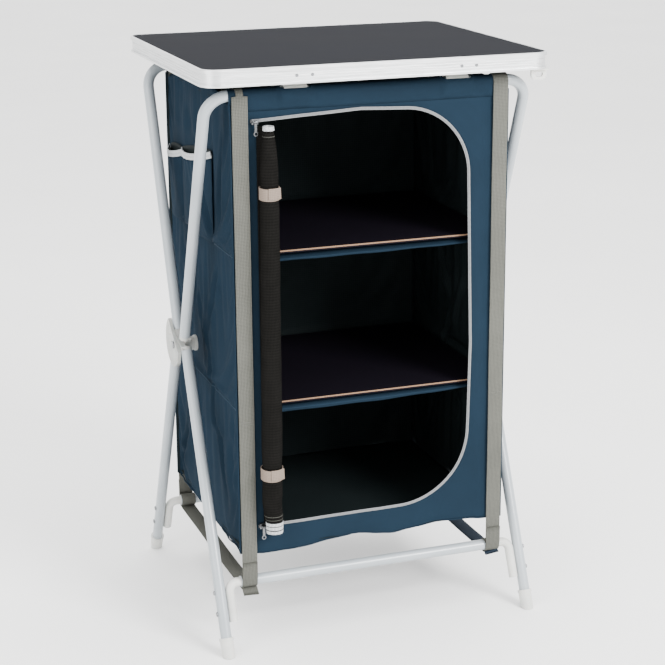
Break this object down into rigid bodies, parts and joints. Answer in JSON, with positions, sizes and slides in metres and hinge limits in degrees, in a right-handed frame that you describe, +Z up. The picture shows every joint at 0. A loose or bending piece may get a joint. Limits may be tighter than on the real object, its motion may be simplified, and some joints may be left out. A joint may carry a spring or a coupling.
{
  "type": "camping wardrobe",
  "caption": "Free-standing camping wardrobe: folding X-frame of bent tubes, cloth body with rolled mesh door, shelf boards, side pockets and flat rimmed top.",
  "frame": {"origin": "bottom centre of the bounding box, on the floor midway between the four feet", "axes": "+Z up, -Y out of the front where the door opening is, +X to the right when looking at the front"},
  "size_m": [0.6, 0.5252, 1],
  "materials": {
    "tube_paint": "satin",
    "white_plastic": "matte",
    "steel_fasteners": "satin",
    "dark_laminate": "satin",
    "edge_aluminium": "satin",
    "blue_cloth": "matte",
    "dark_lining": "matte",
    "black_mesh": "matte",
    "light_tie": "matte",
    "grey_webbing": "matte",
    "zip_tape": "matte",
    "white_elastic": "matte",
    "shelf_board": "matte",
    "zip_metal": "polished"
  },
  "bodies": {
    "frame_a": {"front_top_frame": "tube_paint", "rear_lower_leg_left": "tube_paint", "rear_lower_leg_right": "tube_paint", "rear_crossbar": "tube_paint", "rear_elbows": "white_plastic", "rear_feet": "white_plastic", "rear_leg_screws": "steel_fasteners", "hub_inner_left": "white_plastic", "hub_inner_right": "white_plastic", "hub_pins": "steel_fasteners", "depth_straps": "grey_webbing", "rear_crossbar_loops": "grey_webbing"},
    "frame_b": {"rear_top_frame": "tube_paint", "front_lower_leg_left": "tube_paint", "front_lower_leg_right": "tube_paint", "front_crossbar": "tube_paint", "front_elbows": "white_plastic", "front_feet": "white_plastic", "front_leg_screws": "steel_fasteners", "hub_outer_left": "white_plastic", "hub_outer_right": "white_plastic", "front_crossbar_loops": "grey_webbing"},
    "table_top": {"table_panel": "dark_laminate", "edge_profile": "edge_aluminium", "front_clips": "white_plastic", "rear_saddles": "white_plastic", "edge_rivets": "steel_fasteners", "side_hook": "white_plastic"},
    "front_wall": {"front_panel": "blue_cloth", "zip_tape": "zip_tape", "mesh_door_roll": "black_mesh", "roll_tie_upper": "light_tie", "roll_tie_lower": "light_tie", "front_strap_left": "grey_webbing", "front_strap_right": "grey_webbing"},
    "rear_wall": {"back_panel": "blue_cloth", "rear_straps": "grey_webbing"},
    "cabinet": {"side_panel_left": "blue_cloth", "side_panel_right": "blue_cloth", "top_panel": "dark_lining", "bottom_panel": "dark_lining", "shelf_sleeve_upper": "dark_lining", "shelf_sleeve_lower": "dark_lining", "side_pocket_front": "blue_cloth", "side_pocket_rear": "blue_cloth", "pocket_rim_front": "white_elastic", "pocket_rim_rear": "white_elastic"},
    "shelf_upper": {"shelf_board_upper": "shelf_board"},
    "shelf_lower": {"shelf_board_lower": "shelf_board"},
    "slider_upper": {"zip_slider_upper": "zip_metal"},
    "slider_lower": {"zip_slider_lower": "zip_metal"},
    "pull_upper": {"pull_tab_upper": "zip_metal"},
    "pull_lower": {"pull_tab_lower": "zip_metal"}
  },
  "joints": [
    {"name": "frame_fold", "type": "hinge", "parent": "frame_a", "child": "frame_b", "pos_m": [0, 0, 0.487], "axis": [1, 0, 0], "range_deg": [0, 42], "deforming": ["side_panel_left", "side_panel_right", "top_panel", "bottom_panel", "shelf_sleeve_upper", "shelf_sleeve_lower", "side_pocket_front", "side_pocket_rear", "pocket_rim_front", "pocket_rim_rear", "depth_straps", "front_panel", "zip_tape", "mesh_door_roll", "roll_tie_upper", "roll_tie_lower", "front_strap_left", "front_strap_right", "back_panel", "rear_straps"]},
    {"name": "cabinet_settle", "type": "hinge", "parent": "frame_a", "child": "cabinet", "pos_m": [0, 0, 0.487], "axis": [1, 0, 0], "range_deg": [0, 21]},
    {"name": "front_wall_swing", "type": "hinge", "parent": "frame_a", "child": "front_wall", "pos_m": [0, -0.194, 0.95], "axis": [1, 0, 0], "range_deg": [0, 19.11]},
    {"name": "rear_wall_swing", "type": "hinge", "parent": "frame_a", "child": "rear_wall", "pos_m": [0, 0.19977, 0.112], "axis": [1, 0, 0], "range_deg": [0, 22.89]},
    {"name": "table_tilt", "type": "hinge", "parent": "frame_a", "child": "table_top", "pos_m": [0, -0.194, 0.95], "axis": [1, 0, 0], "range_deg": [0, 90]},
    {"name": "shelf_turn_upper", "type": "hinge", "parent": "cabinet", "child": "shelf_upper", "pos_m": [0, 0, 0.6845], "axis": [1, 0, 0], "range_deg": [0, 86.94]},
    {"name": "shelf_turn_lower", "type": "hinge", "parent": "cabinet", "child": "shelf_lower", "pos_m": [0, 0, 0.4225], "axis": [1, 0, 0], "range_deg": [0, 86.94]},
    {"name": "upper_slider_run", "type": "slide", "parent": "front_wall", "child": "slider_upper", "axis": [0.9987, 0.0003, 0.0512], "range_m": [0, 0.15]},
    {"name": "lower_slider_run", "type": "slide", "parent": "front_wall", "child": "slider_lower", "axis": [0.9999, 0.0001, 0.0104], "range_m": [0, 0.2]},
    {"name": "upper_pull_swing", "type": "hinge", "parent": "slider_upper", "child": "pull_upper", "pos_m": [-0.203, -0.20944, 0.9078], "axis": [-1, 0, 0], "range_deg": [0, 110]},
    {"name": "lower_pull_swing", "type": "hinge", "parent": "slider_lower", "child": "pull_lower", "pos_m": [-0.203, -0.21422, 0.21312], "axis": [-1, 0, 0], "range_deg": [0, 110]}
  ],
  "couplings": [
    {"joint": "cabinet_settle", "follows": "frame_fold", "ratio": 0.5},
    {"joint": "front_wall_swing", "follows": "frame_fold", "ratio": 0.455},
    {"joint": "rear_wall_swing", "follows": "frame_fold", "ratio": 0.545},
    {"joint": "table_tilt", "follows": "frame_fold", "ratio": 2.1429},
    {"joint": "shelf_turn_upper", "follows": "frame_fold", "ratio": 2.07},
    {"joint": "shelf_turn_lower", "follows": "frame_fold", "ratio": 2.07}
  ]
}
